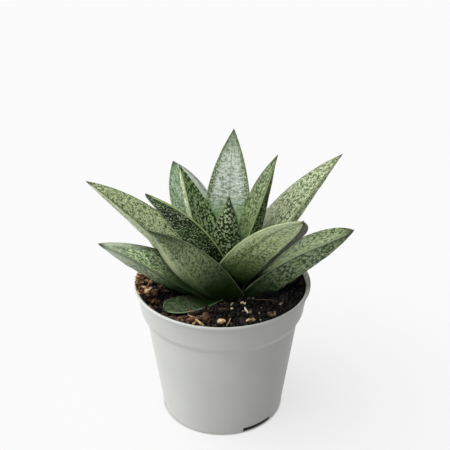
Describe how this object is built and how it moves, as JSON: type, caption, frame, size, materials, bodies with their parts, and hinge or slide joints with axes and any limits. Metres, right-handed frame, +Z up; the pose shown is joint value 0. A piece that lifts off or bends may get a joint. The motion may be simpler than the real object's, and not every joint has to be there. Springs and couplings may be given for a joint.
{
  "type": "potted succulent",
  "caption": "Gasteria succulent with keeled, mottled leaves in a small round grey plastic nursery pot with bark mix.",
  "frame": {"origin": "middle of the flat underside of the pot, where it stands on a surface", "axes": "+Z up out of the pot, +X to the viewer's right, -Y towards the front that the picture shows"},
  "size_m": [0.1527, 0.1354, 0.1634],
  "materials": {
    "pot_plastic": "satin",
    "bark_mix": "matte",
    "stem": "satin",
    "leaf_centre_front": "satin",
    "leaf_centre_back": "satin",
    "leaf_centre_right": "satin",
    "leaf_centre_left": "satin",
    "leaf_back": "satin",
    "leaf_back_left": "satin",
    "leaf_front_right": "satin",
    "leaf_right_long": "satin",
    "leaf_left_long": "satin",
    "leaf_front_left": "satin",
    "leaf_left_low": "satin",
    "leaf_right_low": "satin",
    "leaf_low_back_left": "satin",
    "leaf_low_back_right": "satin",
    "leaf_low_back": "satin",
    "leaf_small_offset": "satin"
  },
  "bodies": {
    "root": {"pot": "pot_plastic", "soil": "bark_mix", "stem": "stem", "leaf_centre_front": "leaf_centre_front", "leaf_centre_back": "leaf_centre_back", "leaf_centre_right": "leaf_centre_right", "leaf_centre_left": "leaf_centre_left", "leaf_back": "leaf_back", "leaf_back_left": "leaf_back_left", "leaf_front_right": "leaf_front_right", "leaf_right_long": "leaf_right_long", "leaf_left_long": "leaf_left_long", "leaf_front_left": "leaf_front_left", "leaf_left_low": "leaf_left_low", "leaf_right_low": "leaf_right_low", "leaf_low_back_left": "leaf_low_back_left", "leaf_low_back_right": "leaf_low_back_right", "leaf_low_back": "leaf_low_back", "leaf_small_offset": "leaf_small_offset"}
  },
  "joints": []
}
